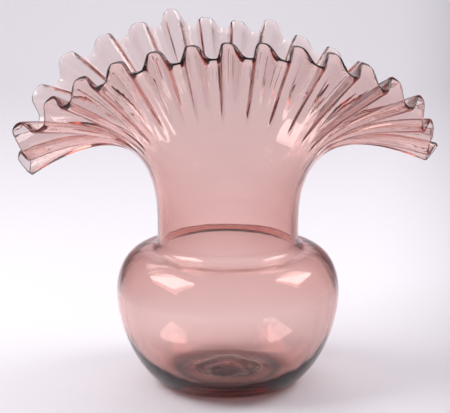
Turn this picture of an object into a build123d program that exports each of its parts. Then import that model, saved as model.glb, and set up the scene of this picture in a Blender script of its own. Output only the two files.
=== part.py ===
"""Hand-blown fan vase: a round bowl, a jacked neck and a crimped fan mouth with a fire-polished lip.

Millimetres, +Z up. The origin is on the table, on the bowl's axis. The fan spreads along X.
"""

import os
from math import comb, cos, radians, sin

import numpy as np
from build123d import *

os.makedirs("parts", exist_ok=True)

# Base: the thick foot with its kick and pontil scar, and the floor's trough and the hump over the kick
foot_radius = 30.0
foot_run = 15.0
trough_radius = 27.0
trough_height = 4.5
trough_run = 18.0
hump_height = 12.0
hump_run = 12.0
kick_radius = 25.0
kick_depth = 5.0
scar_radius = 15.0
scar_width = 3.0
scar_height = 0.6
cut_rise = 1.0

# Bowl: the round body, its shoulder almost flat beside the jack line
bowl_radius = 59.3
bowl_waist_height = 50.8
bowl_wall = 2.2
belly_drop = 22.5
shoulder_rise = 9.6
shoulder_run = 13.3
shoulder_slope = 4.0
inner_shoulder_rise = 3.3
inner_shoulder_run = 12.0

# Neck: the straight throat above the rounding of the jack line, up to the flare
neck_radius = 37.3
neck_wall = 3.0
jack_radius = 5.0
jack_height = 79.1
flare_height = 88.0

# Fan: an oval mouth, high at front and back, drooping at its two ends and a little uneven
mouth_half_width = 106.6
mouth_half_depth = 60.0
front_height = 187.7
back_height = 183.7
end_height = 120.8
end_tilt = 3.5
back_left_lift = 8.7
neck_rise = 36.0
end_neck_rise = 50.0
rim_run_share = 0.66
end_droop = 16.0
end_power = 6.0
rim_wall = 1.6
crest_power = 0.84
crest_rounding_share = 0.08

# Folds of the fan, which begin part of the way up it, unevenly spaced and with one flank steeper
fold_count = 31
fold_depth = 5.5
fold_scallop_share = 0.22
fold_phase = -0.6
fold_drift = 2.75
fold_crowding = 1.61
fold_growth = 1.3
fold_rounding_share = 0.35
fold_skew_share = 0.65
front_start_share = 0.6
end_start_share = 0.42
drawn_fold_length = 5.0
drawn_fold_width = 4.5
drawn_fold_angle_and_share = ((73.0, 0.86), (112.0, 1.0), (150.0, 0.6), (161.0, 0.7), (195.0, 1.4), (338.0, 0.4))

# How finely the fan is drawn: strips across each fold, the degree of the lines up it, flats round the lip
strips_per_fold = 6
line_degree = 7
lip_flats = 3
search_steps = 20000
difference_share = 1e-4


def phase_of(angle):
    """Phase of the folds round the mouth, which a hand leaves unevenly spaced."""
    return fold_count * angle + fold_phase + fold_drift * np.sin(angle) + fold_crowding * np.sin(2 * angle)


def fold_wave(angle):
    """Crimp round the mouth, from -1 on an inward fold to 1 on an outward one, flat on both."""
    phase = phase_of(angle)
    wave = np.sin(phase + fold_skew_share * np.sin(angle) * np.sin(phase))
    return wave * np.sqrt((1 + fold_rounding_share**2) / (wave**2 + fold_rounding_share**2))


def mouth_turn(angle):
    """Angle on the oval of the mouth that a line up the fan reaches from its angle on the neck."""
    spread = (mouth_half_width - mouth_half_depth) / (mouth_half_width + mouth_half_depth) / 2
    return angle + spread * np.sin(2 * angle)


def rim_height(turn):
    """Height of the smooth rim round the mouth."""
    rounding = crest_rounding_share**2
    low = rounding ** (crest_power / 2)
    high = (1 + rounding) ** (crest_power / 2)
    rise = ((np.sin(turn) ** 2 + rounding) ** (crest_power / 2) - low) / (high - low)
    top = front_height + (back_height - front_height) * (1 + np.sin(turn)) / 2
    uneven = end_tilt - 2 * back_left_lift * np.maximum(np.sin(turn), 0)
    return end_height + (top - end_height) * rise + uneven * np.cos(turn)


def flare(angle, share):
    """Middle of the smooth flared wall, before crimping. The share is 0 at the neck and 1 at the rim."""
    turn = mouth_turn(angle)
    middle = neck_radius - neck_wall / 2
    up = np.array([0, 0, 1])
    root = np.stack([middle * np.cos(angle), middle * np.sin(angle), np.full_like(angle, flare_height)], -1)
    rim = np.stack([mouth_half_width * np.cos(turn), mouth_half_depth * np.sin(turn), rim_height(turn)], -1)
    at_ends = np.abs(np.cos(turn))[..., None] ** end_power
    low_handle = root + (neck_rise + (end_neck_rise - neck_rise) * at_ends) * up
    reach = rim - low_handle
    climb = reach * up
    run = reach - climb
    down = -np.linalg.norm(run, axis=-1, keepdims=True) * up
    out = run / np.linalg.norm(run, axis=-1, keepdims=True) * climb[..., 2:]
    droop = radians(end_droop) * at_ends
    high_handle = rim - rim_run_share * (reach * np.cos(droop) + (down + out) * np.sin(droop))
    along = share[..., None]
    rest = 1 - along
    return root * rest**3 + 3 * along * rest * (low_handle * rest + high_handle * along) + rim * along**3


def directions(wall, angle, share):
    """Unit vectors outward from a wall that is a function of the angle and the share, and up along it."""
    step = difference_share
    across = wall(angle + step, share) - wall(angle - step, share)
    along = wall(angle, share + step) - wall(angle, share - step)
    normal = np.cross(across, along)
    return [vector / np.linalg.norm(vector, axis=-1, keepdims=True) for vector in (normal, along)]


def crimped(angle, share):
    """Middle of the crimped wall, with a few of the inward folds drawn out longer by hand."""
    normal, along = directions(flare, angle, share)
    start = front_start_share + (end_start_share - front_start_share) * np.cos(mouth_turn(angle)) ** 2
    grown = np.maximum((share - start) / (1 - start), 0) ** fold_growth
    push = fold_depth * grown * fold_wave(angle)
    drawn = drawn_fold_length * sum(
        size * np.exp(-(((np.degrees(angle) - place) / drawn_fold_width) ** 2))
        for place, size in drawn_fold_angle_and_share
    )
    slide = drawn * share**3 - fold_scallop_share * push
    return flare(angle, share) + normal * push[..., None] + along * slide[..., None]


def line_shares():
    """Places up a line, closer together at its two ends, where a curve of line_degree is read."""
    return (1 - np.cos(np.pi * np.arange(line_degree + 1) / line_degree)) / 2


def control_points(read_points):
    """Control points of the curves that pass through the points read at line_shares."""
    places = line_shares()[:, None]
    order = np.arange(line_degree + 1)
    count = np.array([comb(line_degree, k) for k in order])
    blend = count * places**order * (1 - places) ** (line_degree - order)
    return np.einsum("ij,kjc->kic", np.linalg.inv(blend), read_points)


def strips(lines):
    """Ruled faces between neighbouring lines, all the way round the mouth."""
    following = np.roll(lines, -1, axis=0)
    return [
        Face.make_bezier_surface([[tuple(p) for p in one], [tuple(p) for p in other]])
        for one, other in zip(lines.tolist(), following.tolist())
    ]


def facets(lines):
    """Flat triangles, two for each cell of the net that neighbouring lines of points make."""
    following = np.roll(lines, -1, axis=0)
    cells = np.stack([lines[:, :-1], lines[:, 1:], following[:, 1:], following[:, :-1]], 2).reshape(-1, 4, 3)
    corners = np.concatenate([cells[:, [0, 1, 2]], cells[:, [0, 2, 3]]])
    return [Face(Wire.make_polygon([tuple(p) for p in corner])) for corner in corners.tolist()]


def closed_solid(faces):
    """Solid bounded by faces that meet edge to edge."""
    return Solid(Shell(faces))


def vessel_section():
    """Half section of the foot and the bowl, from the table up over the jack line."""
    fall = radians(shoulder_slope)
    outward = Vector(cos(fall), -sin(fall))
    downward = Vector(-sin(fall), -cos(fall))
    waist_inside = bowl_radius - bowl_wall
    throat = neck_radius - neck_wall
    inner_jack_radius = jack_radius + neck_wall
    jack = Vector(neck_radius + jack_radius, jack_height)
    crease = jack + downward * jack_radius
    inner_crease = jack + downward * inner_jack_radius
    with BuildSketch(Plane.XZ, mode=Mode.PRIVATE) as section:
        with BuildLine():
            Line((0, 0), (foot_radius, 0))
            Bezier(
                (foot_radius, 0),
                (foot_radius + foot_run, 0),
                (bowl_radius, bowl_waist_height - belly_drop),
                (bowl_radius, bowl_waist_height),
            )
            Bezier(
                (bowl_radius, bowl_waist_height),
                (bowl_radius, bowl_waist_height + shoulder_rise),
                crease + outward * shoulder_run,
                crease,
            )
            RadiusArc(crease, (neck_radius, jack_height), jack_radius)
            Line((neck_radius, jack_height), (throat, jack_height))
            RadiusArc((throat, jack_height), inner_crease, -inner_jack_radius)
            Bezier(
                inner_crease,
                inner_crease + outward * inner_shoulder_run,
                (waist_inside, bowl_waist_height + inner_shoulder_rise),
                (waist_inside, bowl_waist_height),
            )
            Bezier(
                (waist_inside, bowl_waist_height),
                (waist_inside, bowl_waist_height - belly_drop),
                (trough_radius + trough_run, trough_height),
                (trough_radius, trough_height),
            )
            Bezier(
                (trough_radius, trough_height),
                (trough_radius - hump_run, trough_height),
                (hump_run, hump_height),
                (0, hump_height),
            )
            Line((0, hump_height), (0, 0))
        make_face()
    return section.sketch


vessel = vessel_section()
cut_plane = Plane.XY.offset(hump_height + cut_rise)

# Base: the foot up to the cut plane, hollowed by the kick, with the ring of the pontil scar in the kick
with BuildPart() as base:
    revolve(vessel, axis=Axis.Z)
    split(bisect_by=cut_plane, keep=Keep.BOTTOM)
    with BuildSketch(Plane.XZ):
        with BuildLine():
            Line((0, 0), (0, kick_depth))
            TangentArc((0, kick_depth), (kick_radius, 0), tangent=(1, 0))
            Line((kick_radius, 0), (0, 0))
        make_face()
    revolve(axis=Axis.Z, mode=Mode.SUBTRACT)
    with BuildSketch(Plane.XZ):
        with Locations((scar_radius, kick_depth * (1 - (scar_radius / kick_radius) ** 2))):
            Rectangle(scar_width, 2 * scar_height)
    revolve(axis=Axis.Z)
base.part.label = "base"
export_step(base.part, "parts/base.step")

# Bowl: the rest of the same section
with BuildPart() as bowl:
    revolve(vessel, axis=Axis.Z)
    split(bisect_by=cut_plane, keep=Keep.TOP)
bowl.part.label = "bowl"
export_step(bowl.part, "parts/bowl.step")

# Neck: a ring on the rounding of the jack line
with BuildPart() as neck:
    with BuildSketch(Plane.XY.offset(jack_height)):
        Circle(neck_radius)
        Circle(neck_radius - neck_wall, mode=Mode.SUBTRACT)
    extrude(amount=flare_height - jack_height)
neck.part.label = "neck"
export_step(neck.part, "parts/neck.step")

# Lines up the fan, at the same places on every fold, and the points of its two skins on them
line_count = fold_count * strips_per_fold
line_phases = 2 * np.pi * (np.arange(line_count) + 0.5) / strips_per_fold
searched_angles = np.linspace(-np.pi, 3 * np.pi, search_steps)
strip_angles = np.interp(line_phases, phase_of(searched_angles), searched_angles)
line_angles, line_places = np.meshgrid(strip_angles, line_shares(), indexing="ij")
line_middles = crimped(line_angles, line_places)
line_normals = directions(crimped, line_angles, line_places)[0]
line_normals[:, 0] = np.stack([np.cos(strip_angles), np.sin(strip_angles), np.zeros_like(strip_angles)], -1)
half_walls = (neck_wall + (rim_wall - neck_wall) * line_places[..., None]) / 2
outer_points = line_middles + line_normals * half_walls
inner_points = line_middles - line_normals * half_walls
rim_edge_faces = facets(np.stack([outer_points[:, -1], inner_points[:, -1]], 1))

# Fan: two skins of ruled strips, closed by the rim's edge above and a flat ring on the neck below
root_ring = Face(
    Wire.make_polygon([tuple(p) for p in outer_points[:, 0].tolist()]),
    [Wire.make_polygon([tuple(p) for p in inner_points[:, 0].tolist()])],
)
fan_faces = strips(control_points(outer_points)) + strips(control_points(inner_points))
with BuildPart() as fan_rim:
    add(closed_solid(fan_faces + rim_edge_faces + [root_ring]))
fan_rim.part.label = "fan_rim"
export_step(fan_rim.part, "parts/fan_rim.step")

# Lip: a bead on the rim's edge, a half round drawn with a few flats
rim_along = np.roll(line_middles[:, -1], -1, axis=0) - np.roll(line_middles[:, -1], 1, axis=0)
rim_up = np.cross(rim_along, -line_normals[:, -1])
rim_up = rim_up / np.linalg.norm(rim_up, axis=-1, keepdims=True)
swing = np.pi * np.arange(lip_flats + 1)[:, None] / lip_flats
lip_points = line_middles[:, -1:] + (
    line_normals[:, -1:] * np.cos(swing) + rim_up[:, None] * np.sin(swing)
) * (rim_wall / 2)
with BuildPart() as lip_bead:
    add(closed_solid(facets(lip_points) + rim_edge_faces))
lip_bead.part.label = "lip_bead"
export_step(lip_bead.part, "parts/lip_bead.step")
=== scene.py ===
"""Hand-blown pink glass fan vase on a pale table. Metres, +Z up, in the frame of the CAD model."""

import bpy
import numpy as np
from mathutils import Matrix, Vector


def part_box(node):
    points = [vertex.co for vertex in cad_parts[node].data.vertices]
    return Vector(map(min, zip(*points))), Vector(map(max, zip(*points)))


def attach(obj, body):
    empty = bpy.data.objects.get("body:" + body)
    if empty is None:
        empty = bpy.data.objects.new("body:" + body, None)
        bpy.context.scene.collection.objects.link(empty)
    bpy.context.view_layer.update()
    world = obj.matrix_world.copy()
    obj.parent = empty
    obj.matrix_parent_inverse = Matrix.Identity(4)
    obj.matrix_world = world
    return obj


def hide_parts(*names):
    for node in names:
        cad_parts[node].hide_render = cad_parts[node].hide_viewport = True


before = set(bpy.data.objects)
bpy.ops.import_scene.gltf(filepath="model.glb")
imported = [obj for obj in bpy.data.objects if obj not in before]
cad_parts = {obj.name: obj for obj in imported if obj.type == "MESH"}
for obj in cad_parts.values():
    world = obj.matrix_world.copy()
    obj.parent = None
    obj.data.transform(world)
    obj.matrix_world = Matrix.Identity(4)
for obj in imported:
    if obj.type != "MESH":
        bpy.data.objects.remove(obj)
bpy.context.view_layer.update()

MM = 0.001
NECK_LOW, NECK_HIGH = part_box("neck")
BOWL_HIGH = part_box("bowl")[1]

# Foot, kick and pontil scar
FOOT_RADIUS = 30 * MM
FOOT_RUN = 15 * MM
TROUGH_HEIGHT = 4.5 * MM
TROUGH_RADIUS = 27 * MM
TROUGH_RUN = 18 * MM
HUMP_HEIGHT = 12 * MM
HUMP_RUN = 12 * MM
KICK_RADIUS = 25 * MM
KICK_DEPTH = 5 * MM
SCAR_RADIUS = 15 * MM
SCAR_WIDTH = 3 * MM
SCAR_HEIGHT = 0.6 * MM

# Bowl and jack line
BOWL_RADIUS = BOWL_HIGH[0]
WAIST_HEIGHT = 50.8 * MM
BOWL_WALL = 2.2 * MM
BELLY_DROP = 22.5 * MM
SHOULDER_RISE = 9.6 * MM
SHOULDER_RUN = 13.3 * MM
INNER_SHOULDER_RISE = 3.3 * MM
INNER_SHOULDER_RUN = 12 * MM
JACK_RADIUS = 5 * MM
JACK_HEIGHT = NECK_LOW[2]
CREASE_ANGLE = np.radians(-4)

# Neck
NECK_RADIUS = NECK_HIGH[0]
NECK_WALL = 3 * MM
FLARE_HEIGHT = NECK_HIGH[2]

# Fan: an oval mouth, high at front and back, drooping at its two ends and a little uneven
MOUTH_HALF_WIDTH = 106.6 * MM
MOUTH_HALF_DEPTH = 60 * MM
FRONT_HEIGHT = 187.7 * MM
BACK_HEIGHT = 183.7 * MM
END_HEIGHT = 120.8 * MM
END_TILT = 3.5 * MM
BACK_LEFT_LIFT = 8.7 * MM
NECK_RISE = 36 * MM
LEFT_END_NECK_RISE = 47 * MM
RIGHT_END_NECK_RISE = 41.5 * MM
RIM_RUN_SHARE = 0.66
END_DROOP = np.radians(16)
END_POWER = 6
RIM_WALL = 1.6 * MM
CREST_POWER = 0.84
CREST_ROUNDING = 0.08
FULL_WALL_SHARE = 0.2

# Folds: where they begin on the fan, and the few inward ones that were drawn out longer than the rest
FRONT_START_SHARE = 0.6
END_START_SHARE = 0.42
SCALLOP_SHARE = 0.22
DRAWN_ANGLES = np.radians([73, 112, 150, 161, 195, 338])
DRAWN_LENGTHS = np.array([4.3, 5, 3, 3.5, 7, 2]) * MM
DRAWN_WIDTH = np.radians(4.5)
FOLD_COUNT = 31
HAND_WORK = {
    "Fold count": FOLD_COUNT,
    "Fold depth": 5.5 * MM,
    "Fold phase": -0.6,
    "Fold drift": 2.75,
    "Fold crowding": 1.61,
    "Fold growth": 1.3,
    "Fold rounding": 0.35,
    "Fold skew": 0.65,
    "Scar grains per metre": 220,
    "Scar roughness": 1 * MM,
}

# Glass: the share of red, green and blue that its colour lets past, how dense it is per metre, and its skin
GLASS_CLEARS = (0.69, 0.11, 0)
GLASS_DENSITY = 139
GLASS_IOR = 1.5
RIPPLES_PER_METRE = 110
RIPPLE_DETAIL = 1
RIPPLE_STRETCH = (1, 1, 0.4)
RIPPLE_HEIGHT = 0.12 * MM
CHIPS_PER_METRE = 300
CHIP_DETAIL = 3
FOOT_WEAR = 0.4
CLEAR_COLOUR = "#ffffff"
# Dark red-brown tint of the scar and the kick's middle: painted shade of the shadow under the kick, laid over
# the real rough scar
SCAR_AND_SHADE_COLOUR = "#45251f"

# Studio: a pale paper sweep with painted shade that greys it towards both sides, a grey room and the camera
PAPER_SIDES = (-0.8, 0.8)
PAPER_FRONT = -1.2
WALL_BEND_START = 0.9
WALL_BEND_RADIUS = 0.4
WALL_BEND_STEPS = 16
WALL_TOP = 1.6
# Painted shade on the paper: it fades from its pale colour to grey towards both sides, where the light falls
# off
PAPER_MIDDLE = (-0.04, 0, 0)
PAPER_SIDEWAYS = (1, -0.12, 0)
PAPER_SHADE_FADE = (0.095, 0.3)
PAPER_COLOUR = "#f1edf2"
PAPER_PAINTED_SHADE = "#a6a3a8"
ROOM_COLOUR = "#97959a"
ROOM_STRENGTH = 1
CAMERA_PLACE = (-0.00154, -0.9, 0.318)
CAMERA_TILT_DOWN = np.radians(13.87)
FOCAL_LENGTH_MM = 140.1

# Soft boxes: where they stand and what they face, with their power in watts
BOWL_MIDDLE = (0, 0, 0.07)
LEFT_BOX = {"place": (-0.6, -0.08, 0.67), "aim": BOWL_MIDDLE, "width": 0.61, "height": 0.41, "power": 5.3}
RIGHT_BOX = {"place": (0.62, 0.1, 0.64), "aim": BOWL_MIDDLE, "width": 0.44, "height": 0.4, "power": 3.5}
WALL_BOX = {"place": (-0.3, 1.0, 1.3), "aim": (-0.2, 1.3, 0), "width": 2.0, "height": 0.6, "power": 7.0}

# Light through the glass: how often it may turn in all, and off mirror-like faces
LIGHT_BOUNCES = 32
MIRROR_BOUNCES = 8

# Sockets of a colour mix node, and the middle of what a noise gives
MIX_FACTOR, MIX_FIRST, MIX_SECOND, MIX_RESULT = 0, 6, 7, 2
NOISE_MIDDLE = 0.5

# Mesh fineness, and the step and the lowest share at which slopes on the fan are read
COLUMNS_PER_FOLD = 16
COLUMNS = FOLD_COUNT * COLUMNS_PER_FOLD
KICK_ROWS = 22
FOOT_ROWS = 3
BELLY_ROWS = 19
SHOULDER_ROWS = 18
JACK_ROWS = 9
NECK_ROWS = 3
FAN_ROWS = 28
LIP_ROWS = 5
HUMP_ROWS = 10
SLOPE_STEP = 1e-4
LOWEST_SLOPE_SHARE = 1e-3


def linear(hex_colour):
    """Linear RGBA of an sRGB hex colour."""
    channels = [int(hex_colour[i : i + 2], 16) / 255 for i in (1, 3, 5)]
    return [c / 12.92 if c <= 0.04045 else ((c + 0.055) / 1.055) ** 2.4 for c in channels] + [1]


def add_node(tree, kind, inputs=(), output=0, **settings):
    """Add a node with its settings and its inputs, by order or by name, and return one of its outputs."""
    node = tree.nodes.new(kind)
    for name, value in settings.items():
        setattr(node, name, value)
    for key, value in inputs.items() if isinstance(inputs, dict) else enumerate(inputs):
        if isinstance(value, bpy.types.NodeSocket):
            tree.links.new(value, node.inputs[key])
        else:
            node.inputs[key].default_value = value
    return node.outputs[output] if node.outputs else None


def cubic(start, first, second, end, count):
    """Points on a cubic curve, its start left out."""
    along = np.linspace(0, 1, count + 1)[1:, None]
    rest = 1 - along
    points = (np.array(p) for p in (start, first, second, end))
    weights = (rest**3, 3 * rest**2 * along, 3 * rest * along**2, along**3)
    return sum(weight * point for weight, point in zip(weights, points))


def arc(centre, radius, start, end, count):
    """Points on a circular arc, its start left out."""
    turns = np.linspace(start, end, count + 1)[1:]
    return np.array(centre) + radius * np.stack([np.cos(turns), np.sin(turns)], -1)


def outer_section():
    """Radius and height of the outer wall, from the middle of the kick up to the top of the neck."""
    radius = np.linspace(0, KICK_RADIUS, KICK_ROWS + 1)[1:]
    kick = KICK_DEPTH * (1 - (radius / KICK_RADIUS) ** 2)
    kick = kick - SCAR_HEIGHT * np.exp(-(((radius - SCAR_RADIUS) / (SCAR_WIDTH / 2)) ** 2))
    foot = np.linspace((KICK_RADIUS, 0), (FOOT_RADIUS, 0), FOOT_ROWS + 1)[1:]
    run = SHOULDER_RUN * np.array([np.cos(CREASE_ANGLE), np.sin(CREASE_ANGLE)])
    jack = (NECK_RADIUS + JACK_RADIUS, JACK_HEIGHT)
    groove = arc(jack, JACK_RADIUS, CREASE_ANGLE - np.pi / 2, -np.pi, JACK_ROWS)
    crease = arc(jack, JACK_RADIUS, 0, CREASE_ANGLE - np.pi / 2, 1)[0]
    waist = np.array([BOWL_RADIUS, WAIST_HEIGHT])
    out, up = np.eye(2)
    return np.concatenate(
        [
            np.stack([radius, np.maximum(kick, 0)], -1),
            foot,
            cubic(foot[-1], foot[-1] + FOOT_RUN * out, waist - BELLY_DROP * up, waist, BELLY_ROWS),
            cubic(waist, waist + SHOULDER_RISE * up, crease + run, crease, SHOULDER_ROWS),
            groove,
            np.linspace(groove[-1], (NECK_RADIUS, FLARE_HEIGHT), NECK_ROWS + 1)[1:-1],
        ]
    )


def inner_section():
    """Radius and height of the inner wall, from the top of the neck down to the middle of the floor."""
    throat = NECK_RADIUS - NECK_WALL
    jack = (NECK_RADIUS + JACK_RADIUS, JACK_HEIGHT)
    groove = arc(jack, JACK_RADIUS + NECK_WALL, -np.pi, CREASE_ANGLE - np.pi / 2, JACK_ROWS)
    crease = groove[-1]
    run = INNER_SHOULDER_RUN * np.array([np.cos(CREASE_ANGLE), np.sin(CREASE_ANGLE)])
    waist = np.array([BOWL_RADIUS - BOWL_WALL, WAIST_HEIGHT])
    trough = np.array([TROUGH_RADIUS, TROUGH_HEIGHT])
    hump = np.array([0, HUMP_HEIGHT])
    out, up = np.eye(2)
    return np.concatenate(
        [
            np.linspace((throat, FLARE_HEIGHT), (throat, JACK_HEIGHT), NECK_ROWS + 1)[1:],
            groove,
            cubic(crease, crease + run, waist + INNER_SHOULDER_RISE * up, waist, SHOULDER_ROWS),
            cubic(waist, waist - BELLY_DROP * up, trough + TROUGH_RUN * out, trough, BELLY_ROWS),
            cubic(trough, trough - HUMP_RUN * out, hump + HUMP_RUN * out, hump, HUMP_ROWS)[:-1],
        ]
    )


def mouth_turn(angle):
    """Angle on the oval of the mouth that a line up the fan reaches from its angle on the neck."""
    spread = (MOUTH_HALF_WIDTH - MOUTH_HALF_DEPTH) / (MOUTH_HALF_WIDTH + MOUTH_HALF_DEPTH) / 2
    return angle + spread * np.sin(2 * angle)


def rim_height(turn):
    """Height of the smooth rim round the mouth."""
    low, high = (rest ** (CREST_POWER / 2) for rest in (CREST_ROUNDING**2, 1 + CREST_ROUNDING**2))
    rise = ((np.sin(turn) ** 2 + CREST_ROUNDING**2) ** (CREST_POWER / 2) - low) / (high - low)
    top = FRONT_HEIGHT + (BACK_HEIGHT - FRONT_HEIGHT) * (1 + np.sin(turn)) / 2
    uneven = END_TILT - 2 * BACK_LEFT_LIFT * np.maximum(np.sin(turn), 0)
    return END_HEIGHT + (top - END_HEIGHT) * rise + uneven * np.cos(turn)


def flare(angle, share):
    """Middle of the smooth flared wall before it is crimped. The share is 0 at the neck and 1 at the rim."""
    turn = mouth_turn(angle)
    middle = NECK_RADIUS - NECK_WALL / 2
    up = np.array([0, 0, 1])
    root = np.stack([middle * np.cos(angle), middle * np.sin(angle), np.full_like(angle, FLARE_HEIGHT)], -1)
    rim = np.stack([MOUTH_HALF_WIDTH * np.cos(turn), MOUTH_HALF_DEPTH * np.sin(turn), rim_height(turn)], -1)
    at_ends = np.abs(np.cos(turn))[..., None] ** END_POWER
    end_rise = np.where(np.cos(turn) > 0, RIGHT_END_NECK_RISE, LEFT_END_NECK_RISE)[..., None]
    low_handle = root + (NECK_RISE + (end_rise - NECK_RISE) * at_ends) * up
    reach = rim - low_handle
    climb = reach * up
    run = reach - climb
    down = -np.linalg.norm(run, axis=-1, keepdims=True) * up
    out = run / np.linalg.norm(run, axis=-1, keepdims=True) * climb[..., 2:]
    droop = END_DROOP * at_ends
    high_handle = rim - RIM_RUN_SHARE * (reach * np.cos(droop) + (down + out) * np.sin(droop))
    along = share[..., None]
    rest = 1 - along
    return root * rest**3 + 3 * along * rest * (low_handle * rest + high_handle * along) + rim * along**3


def flare_directions(angle, share):
    """Unit vectors outward from the smooth flared wall and up along it."""
    across = flare(angle + SLOPE_STEP, share) - flare(angle - SLOPE_STEP, share)
    along = flare(angle, share + SLOPE_STEP) - flare(angle, share - SLOPE_STEP)
    normal = np.cross(across, along)
    return (vector / np.linalg.norm(vector, axis=-1, keepdims=True) for vector in (normal, along))


def revolved(section, angles):
    """Rows of points from a half section turned round the axis."""
    radius, height = section[:, :1], section[:, 1:]
    return np.stack([radius * np.cos(angles), radius * np.sin(angles), height + 0 * angles], -1)


def vase_blank():
    """The whole glass as one closed skin from the kick over the rim to the floor, before it is crimped.

    On the fan the two walls lie on its middle, where crimping and then thickening keep an even wall.
    """
    angles = np.linspace(0, 2 * np.pi, COLUMNS, endpoint=False)
    rising = np.arange(FAN_ROWS) / FAN_ROWS
    swing = np.pi * np.arange(LIP_ROWS) / (LIP_ROWS - 1)
    shares = np.concatenate([rising, np.ones(LIP_ROWS), rising[::-1]])
    sides = np.concatenate([np.ones(FAN_ROWS), np.cos(swing), -np.ones(FAN_ROWS)])
    crowns = np.concatenate([0 * rising, np.sin(swing), 0 * rising])
    angle, share = np.meshgrid(angles, shares)
    turn = mouth_turn(angle)
    normal, along = flare_directions(angle, np.maximum(share, LOWEST_SLOPE_SHARE))
    half_wall = (NECK_WALL + (RIM_WALL - NECK_WALL) * shares) / 2
    growing = np.clip(shares / FULL_WALL_SHARE, 0, 1)
    growing = growing**2 * (3 - 2 * growing)
    fan = flare(angle, share) + along * (crowns * half_wall)[:, None, None]
    fan = fan + normal * (sides * half_wall * (1 - growing))[:, None, None]
    outside, inside = outer_section(), inner_section()
    outer, inner = revolved(outside, angles), revolved(inside, angles)
    rows = np.concatenate([outer, fan, inner])
    poles = np.array([[0, 0, KICK_DEPTH], [0, 0, HUMP_HEIGHT]])

    def on_rows(fan_values, width=1):
        """Values of the fan's rows, with zeros on the rest of the glass and at its two poles."""
        ends = [np.zeros((len(part) * COLUMNS, width)) for part in (outer, inner)]
        return np.concatenate([ends[0], fan_values.reshape(-1, width), ends[1], np.zeros((2, width))])

    start = FRONT_START_SHARE + (END_START_SHARE - FRONT_START_SHARE) * np.cos(turn) ** 2
    nearness = np.exp(-(((angle[..., None] - DRAWN_ANGLES) / DRAWN_WIDTH) ** 2))
    drawn = along * (nearness @ DRAWN_LENGTHS * share**3)[..., None]
    scar_and_shade_share, foot_wear = on_rows(0 * angle), on_rows(0 * angle)
    # Share of the scar: it roughens the broken glass in the kick's middle and also carries the painted shade
    # of the shadow under the kick
    in_scar_and_shade = np.clip((SCAR_RADIUS + SCAR_WIDTH - outside[:KICK_ROWS, 0]) / SCAR_WIDTH, 0, 1)
    scar_and_shade_share[: KICK_ROWS * COLUMNS, 0] = np.repeat(in_scar_and_shade, COLUMNS)
    foot_wear[KICK_ROWS * COLUMNS : (KICK_ROWS + FOOT_ROWS) * COLUMNS, 0] = FOOT_WEAR
    attributes = {
        "fan_angle": on_rows(angle),
        "fold_share": on_rows(np.clip((share - start) / (1 - start), 0, 1)),
        "fold_draw": on_rows(drawn, 3),
        "half_wall": on_rows(np.abs(sides * half_wall * growing)[:, None] + 0 * angle),
        "fold_direction": on_rows(normal - SCALLOP_SHARE * along, 3),
        "scar_and_shade_share": scar_and_shade_share,
        "foot_wear": foot_wear,
    }
    return closed_skin("vase_glass", np.concatenate([rows.reshape(-1, 3), poles]), len(rows), attributes)


def closed_skin(name, points, row_count, attributes):
    """Mesh object of rows that close on themselves, capped at both ends by the last two points."""
    cell = np.arange(row_count * COLUMNS).reshape(row_count, COLUMNS)
    after = np.roll(cell, -1, axis=1)
    faces = np.stack([cell[:-1], after[:-1], after[1:], cell[1:]], -1).reshape(-1, 4).tolist()
    under, floor = len(points) - 2, len(points) - 1
    faces += [(under, b, a) for a, b in zip(cell[0].tolist(), after[0].tolist())]
    faces += [(floor, a, b) for a, b in zip(cell[-1].tolist(), after[-1].tolist())]
    mesh = bpy.data.meshes.new(name)
    mesh.from_pydata(points.tolist(), [], faces)
    for label, values in attributes.items():
        kind, field = ("FLOAT", "value") if values.shape[1] == 1 else ("FLOAT_VECTOR", "vector")
        mesh.attributes.new(label, kind, "POINT").data.foreach_set(field, values.ravel().astype(np.float32))
    piece = bpy.data.objects.new(name, mesh)
    bpy.context.scene.collection.objects.link(piece)
    return piece


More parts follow.
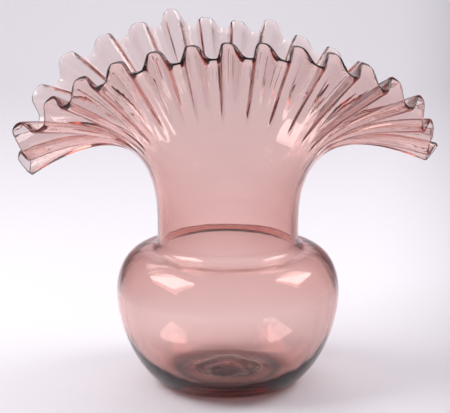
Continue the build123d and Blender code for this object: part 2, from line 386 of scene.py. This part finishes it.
def hand_work_tree(material):
    """Geometry Nodes that crimp the fan into folds, give it its wall and roughen the pontil scar."""
    tree = bpy.data.node_groups.new("Hand worked glass", "GeometryNodeTree")
    tree.interface.new_socket("Geometry", in_out="INPUT", socket_type="NodeSocketGeometry")
    for label in HAND_WORK:
        tree.interface.new_socket(label, in_out="INPUT", socket_type="NodeSocketFloat")
    tree.interface.new_socket("Geometry", in_out="OUTPUT", socket_type="NodeSocketGeometry")
    given = tree.nodes.new("NodeGroupInput").outputs
    stored, maths, vectors = "GeometryNodeInputNamedAttribute", "ShaderNodeMath", "ShaderNodeVectorMath"
    angle = add_node(tree, stored, {"Name": "fan_angle"}, data_type="FLOAT")
    fold_share = add_node(tree, stored, {"Name": "fold_share"}, data_type="FLOAT")
    half_wall = add_node(tree, stored, {"Name": "half_wall"}, data_type="FLOAT")
    scar_and_shade_share = add_node(tree, stored, {"Name": "scar_and_shade_share"}, data_type="FLOAT")
    fold_direction = add_node(tree, stored, {"Name": "fold_direction"}, data_type="FLOAT_VECTOR")
    fold_draw = add_node(tree, stored, {"Name": "fold_draw"}, data_type="FLOAT_VECTOR")

    # Folds round the mouth, unevenly spaced as a hand leaves them
    sideways = add_node(tree, maths, [angle], operation="SINE")
    twice = add_node(tree, maths, [angle, 2.0], operation="MULTIPLY")
    double = add_node(tree, maths, [twice], operation="SINE")
    even = add_node(tree, maths, [angle, given["Fold count"], given["Fold phase"]], operation="MULTIPLY_ADD")
    drifted = add_node(tree, maths, [sideways, given["Fold drift"], even], operation="MULTIPLY_ADD")
    phase = add_node(tree, maths, [double, given["Fold crowding"], drifted], operation="MULTIPLY_ADD")

    # Crimp, from -1 on an inward fold to 1 on an outward one, flat on both, with one flank steeper
    swing = add_node(tree, maths, [phase], operation="SINE")
    leaning = add_node(tree, maths, [sideways, swing], operation="MULTIPLY")
    skewed = add_node(tree, maths, [leaning, given["Fold skew"], phase], operation="MULTIPLY_ADD")
    wave = add_node(tree, maths, [skewed], operation="SINE")
    rounding = add_node(tree, maths, [given["Fold rounding"], 2.0], operation="POWER")
    high = add_node(tree, maths, [rounding, 1.0], operation="ADD")
    low = add_node(tree, maths, [wave, wave, rounding], operation="MULTIPLY_ADD")
    flatness = add_node(tree, maths, [high, low], operation="DIVIDE")
    flatness = add_node(tree, maths, [flatness], operation="SQRT")
    crimp = add_node(tree, maths, [wave, flatness], operation="MULTIPLY")

    # Push in the folds' own direction, which draws inward folds up and outward ones down
    growth = add_node(tree, maths, [fold_share, given["Fold growth"]], operation="POWER")
    depth = add_node(tree, maths, [growth, given["Fold depth"]], operation="MULTIPLY")
    push = add_node(tree, maths, [crimp, depth], operation="MULTIPLY")
    push = add_node(tree, vectors, {0: fold_direction, "Scale": push}, operation="SCALE")

    # Broken glass of the scar
    place = add_node(tree, "GeometryNodeInputPosition")
    grain = add_node(tree, "ShaderNodeTexNoise", {"Vector": place, "Scale": given["Scar grains per metre"]})
    grain = add_node(tree, maths, [grain, NOISE_MIDDLE], operation="SUBTRACT")
    grain = add_node(tree, maths, [grain, given["Scar roughness"]], operation="MULTIPLY")
    grain = add_node(tree, maths, [grain, scar_and_shade_share], operation="MULTIPLY")
    rough = add_node(tree, "ShaderNodeCombineXYZ", {"Z": grain})

    # All the moves at once, and then the wall on both sides of the crimped middle
    move = add_node(tree, vectors, [push, fold_draw], operation="ADD")
    move = add_node(tree, vectors, [move, rough], operation="ADD")
    crimped = add_node(tree, "GeometryNodeSetPosition", {"Geometry": given["Geometry"], "Offset": move})
    normal = add_node(tree, "GeometryNodeInputNormal")
    wall = add_node(tree, vectors, {0: normal, "Scale": half_wall}, operation="SCALE")
    walled = add_node(tree, "GeometryNodeSetPosition", {"Geometry": crimped, "Offset": wall})
    smooth = add_node(tree, "GeometryNodeSetShadeSmooth", {"Geometry": walled})
    whole = add_node(tree, "GeometryNodeRealizeInstances", {"Geometry": smooth})
    dressed = add_node(tree, "GeometryNodeSetMaterial", {"Geometry": whole, "Material": material})
    add_node(tree, "NodeGroupOutput", {"Geometry": dressed})
    return tree


def applied(piece, tree, sizes):
    """Run a Geometry Nodes tree on a piece with named sizes and keep the result as a plain mesh."""
    modifier = piece.modifiers.new(tree.name, "NODES")
    modifier.node_group = tree
    for item in tree.interface.items_tree:
        if item.in_out == "INPUT" and item.name in sizes:
            modifier[item.identifier] = float(sizes[item.name])
    evaluated = piece.evaluated_get(bpy.context.evaluated_depsgraph_get())
    finished = bpy.data.meshes.new_from_object(evaluated)
    piece.modifiers.remove(modifier)
    piece.data = finished


def blown_glass():
    """Blown soda-lime glass, pale pink in the wall and dark red where it is thick.

    Blowing and drawing leave slow ripples in the fire-polished skin, longer upwards. The broken scar is
    rough, and its dark red-brown tint over the kick's middle is painted shade of the shadow under the kick.
    The foot is scuffed where it stands.
    """
    material = bpy.data.materials.new("blown_pink_glass")
    material.use_nodes = True
    tree = material.node_tree
    tree.nodes.clear()
    noise, maths = "ShaderNodeTexNoise", "ShaderNodeMath"
    place = add_node(tree, "ShaderNodeTexCoord", output="Object")
    drawn = add_node(tree, "ShaderNodeVectorMath", [place, RIPPLE_STRETCH], operation="MULTIPLY")
    ripples = add_node(tree, noise, {"Vector": drawn, "Scale": RIPPLES_PER_METRE, "Detail": RIPPLE_DETAIL})
    wavy = add_node(tree, "ShaderNodeBump", {"Height": ripples, "Distance": RIPPLE_HEIGHT})
    in_scar_and_shade = add_node(tree, "ShaderNodeAttribute", output="Fac", attribute_name="scar_and_shade_share")
    chips = add_node(tree, noise, {"Vector": place, "Scale": CHIPS_PER_METRE, "Detail": CHIP_DETAIL})
    on_foot = add_node(tree, "ShaderNodeAttribute", output="Fac", attribute_name="foot_wear")
    worn = add_node(tree, maths, [in_scar_and_shade, on_foot], operation="ADD")
    broken = add_node(tree, maths, [chips, worn], operation="MULTIPLY")
    # Dark tint over the kick's middle: painted shade of the shadow under the kick, laid on the real rough
    # scar
    tones = {MIX_FACTOR: in_scar_and_shade, MIX_FIRST: linear(CLEAR_COLOUR), MIX_SECOND: linear(SCAR_AND_SHADE_COLOUR)}
    tint = add_node(tree, "ShaderNodeMix", tones, MIX_RESULT, data_type="RGBA")
    glass = add_node(
        tree,
        "ShaderNodeBsdfPrincipled",
        {"Base Color": tint, "Roughness": broken, "Normal": wavy, "IOR": GLASS_IOR, "Transmission Weight": 1},
    )
    colour = {"Color": (*GLASS_CLEARS, 1), "Density": GLASS_DENSITY}
    absorbed = add_node(tree, "ShaderNodeVolumeAbsorption", colour)
    add_node(tree, "ShaderNodeOutputMaterial", {"Surface": glass, "Volume": absorbed})
    return material


def pale_paper():
    """Matt pale paper of the table and wall, with painted shade that greys it towards both sides, which edges
    the glass with darker lines.
    """
    material = bpy.data.materials.new("pale_paper_sweep")
    material.use_nodes = True
    tree = material.node_tree
    tree.nodes.clear()
    place = add_node(tree, "ShaderNodeTexCoord", output="Object")
    vectors = "ShaderNodeVectorMath"
    # Painted shade, greying the paper towards both sides where the light falls off
    beside = add_node(tree, vectors, [place, PAPER_MIDDLE], operation="SUBTRACT")
    beside = add_node(tree, vectors, [beside], operation="ABSOLUTE")
    beside = add_node(tree, vectors, [beside, PAPER_SIDEWAYS], "Value", operation="DOT_PRODUCT")
    fade = {"Value": beside, "From Min": PAPER_SHADE_FADE[0], "From Max": PAPER_SHADE_FADE[1]}
    shade = add_node(tree, "ShaderNodeMapRange", fade, interpolation_type="SMOOTHSTEP")
    tones = {MIX_FACTOR: shade, MIX_FIRST: linear(PAPER_COLOUR), MIX_SECOND: linear(PAPER_PAINTED_SHADE)}
    colour = add_node(tree, "ShaderNodeMix", tones, MIX_RESULT, data_type="RGBA")
    paper = add_node(tree, "ShaderNodeBsdfDiffuse", {"Color": colour})
    add_node(tree, "ShaderNodeOutputMaterial", {"Surface": paper})
    return material


def studio():
    """Pale table that curves up into a wall."""
    start = (WALL_BEND_START, 0)
    bend = arc((WALL_BEND_START, WALL_BEND_RADIUS), WALL_BEND_RADIUS, -np.pi / 2, 0, WALL_BEND_STEPS)
    section = [(PAPER_FRONT, 0), start, *bend.tolist(), (WALL_BEND_START + WALL_BEND_RADIUS, WALL_TOP)]
    count = len(section)
    points = [(x, y, z) for x in PAPER_SIDES for y, z in section]
    faces = [(i + count, i + 1 + count, i + 1, i) for i in range(count - 1)]
    mesh = bpy.data.meshes.new("sweep")
    mesh.from_pydata(points, [], faces)
    mesh.shade_smooth()
    mesh.materials.append(pale_paper())
    sweep = bpy.data.objects.new("sweep", mesh)
    bpy.context.scene.collection.objects.link(sweep)


def soft_box(name, place, aim, width, height, power):
    """Area lamp that faces a point."""
    lamp = bpy.data.lights.new(name, "AREA")
    lamp.shape = "RECTANGLE"
    lamp.size, lamp.size_y = width, height
    lamp.energy = power
    fixture = bpy.data.objects.new(name, lamp)
    fixture.location = place
    fixture.rotation_euler = (Vector(aim) - Vector(place)).to_track_quat("-Z", "Y").to_euler()
    bpy.context.scene.collection.objects.link(fixture)


def lights():
    """Two soft boxes beside the vase, one on the wall, and a grey room round them."""
    soft_box("left_box", **LEFT_BOX)
    soft_box("right_box", **RIGHT_BOX)
    soft_box("wall_box", **WALL_BOX)
    world = bpy.data.worlds.new("grey_room")
    world.use_nodes = True
    room = world.node_tree.nodes["Background"].inputs
    room["Color"].default_value = linear(ROOM_COLOUR)
    room["Strength"].default_value = ROOM_STRENGTH
    bpy.context.scene.world = world


def camera():
    """Camera at the photograph's angle."""
    lens = bpy.data.cameras.new("camera")
    lens.lens = FOCAL_LENGTH_MM
    viewer = bpy.data.objects.new("camera", lens)
    viewer.location = CAMERA_PLACE
    viewer.rotation_euler = (np.pi / 2 - CAMERA_TILT_DOWN, 0, 0)
    bpy.context.scene.collection.objects.link(viewer)
    bpy.context.scene.camera = viewer


vase = vase_blank()
applied(vase, hand_work_tree(blown_glass()), HAND_WORK)
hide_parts("base", "bowl", "neck", "fan_rim", "lip_bead")
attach(vase, "root")
studio()
lights()
camera()

scene = bpy.context.scene
scene.view_settings.view_transform = "Standard"
scene.cycles.max_bounces = LIGHT_BOUNCES
scene.cycles.transmission_bounces = LIGHT_BOUNCES
scene.cycles.glossy_bounces = MIRROR_BOUNCES
